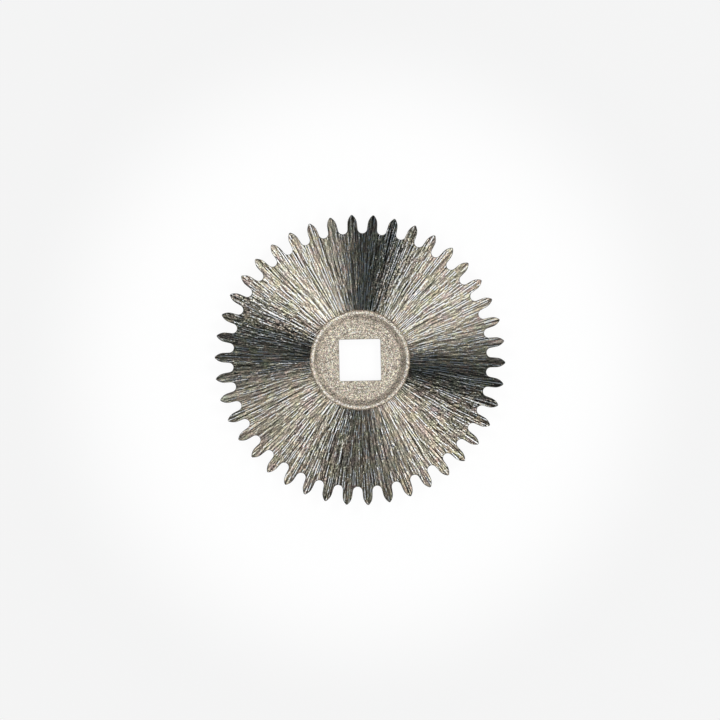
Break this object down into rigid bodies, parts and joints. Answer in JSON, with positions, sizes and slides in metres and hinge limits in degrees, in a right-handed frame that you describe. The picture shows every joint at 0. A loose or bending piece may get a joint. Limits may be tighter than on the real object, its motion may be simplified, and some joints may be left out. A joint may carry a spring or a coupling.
{
  "type": "ratchet wheel",
  "caption": "Flat ratchet wheel of a watch's winding work, with pointed teeth round the rim, a sunk round centre and a square hole for the barrel arbor.",
  "frame": {"origin": "centre of the back face, on the wheel's axis", "axes": "+Z along the wheel's axis, out of the brushed face; +X and +Y across the flats of the square hole"},
  "size_m": [0.007, 0.007, 0.0004],
  "materials": {
    "brushed_face": "sunray brushed on the toothed face, sand-matt in the sunk centre, satin on the teeth and the back"
  },
  "bodies": {
    "root": {"ratchet_wheel": "brushed_face"}
  },
  "joints": []
}
